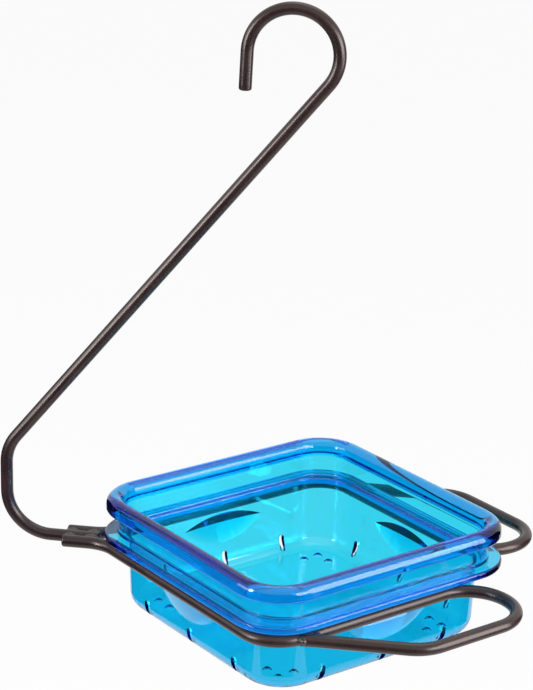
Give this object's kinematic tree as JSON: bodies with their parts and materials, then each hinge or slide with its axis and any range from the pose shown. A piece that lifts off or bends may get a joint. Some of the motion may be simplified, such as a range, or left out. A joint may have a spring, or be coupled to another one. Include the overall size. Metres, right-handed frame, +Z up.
{
  "type": "bird feeder",
  "caption": "Hanging bird feeder: a bent rod hanger with a hook, a welded wire ring with perch loops, and a lift-out clear blue dish with a thick rounded rim, drain slots and drain holes.",
  "frame": {"origin": "the saddle: the underside of the top of the hook, where the feeder bears on what it hangs from", "axes": "+Z up; the hanger's bends lie in the XZ plane, with its leg towards -X and the perches towards +X; Y is across the feeder, from one perch to the other"},
  "size_m": [0.2564, 0.1938, 0.299],
  "materials": {
    "bronze_coat": "satin bronze powder coat",
    "weld_coat": "coated weld bead",
    "blue_plastic": "clear tinted moulding"
  },
  "bodies": {
    "frame": {"hanger_rod": "bronze_coat", "near_perch_wire": "bronze_coat", "far_perch_wire": "bronze_coat", "yoke_welds": "weld_coat", "perch_end_welds": "weld_coat"},
    "dish": {"dish": "blue_plastic"}
  },
  "joints": [
    {"name": "dish_lift", "type": "slide", "parent": "frame", "child": "dish", "axis": [0, 0, 1], "range_m": [0, 0.045]}
  ]
}
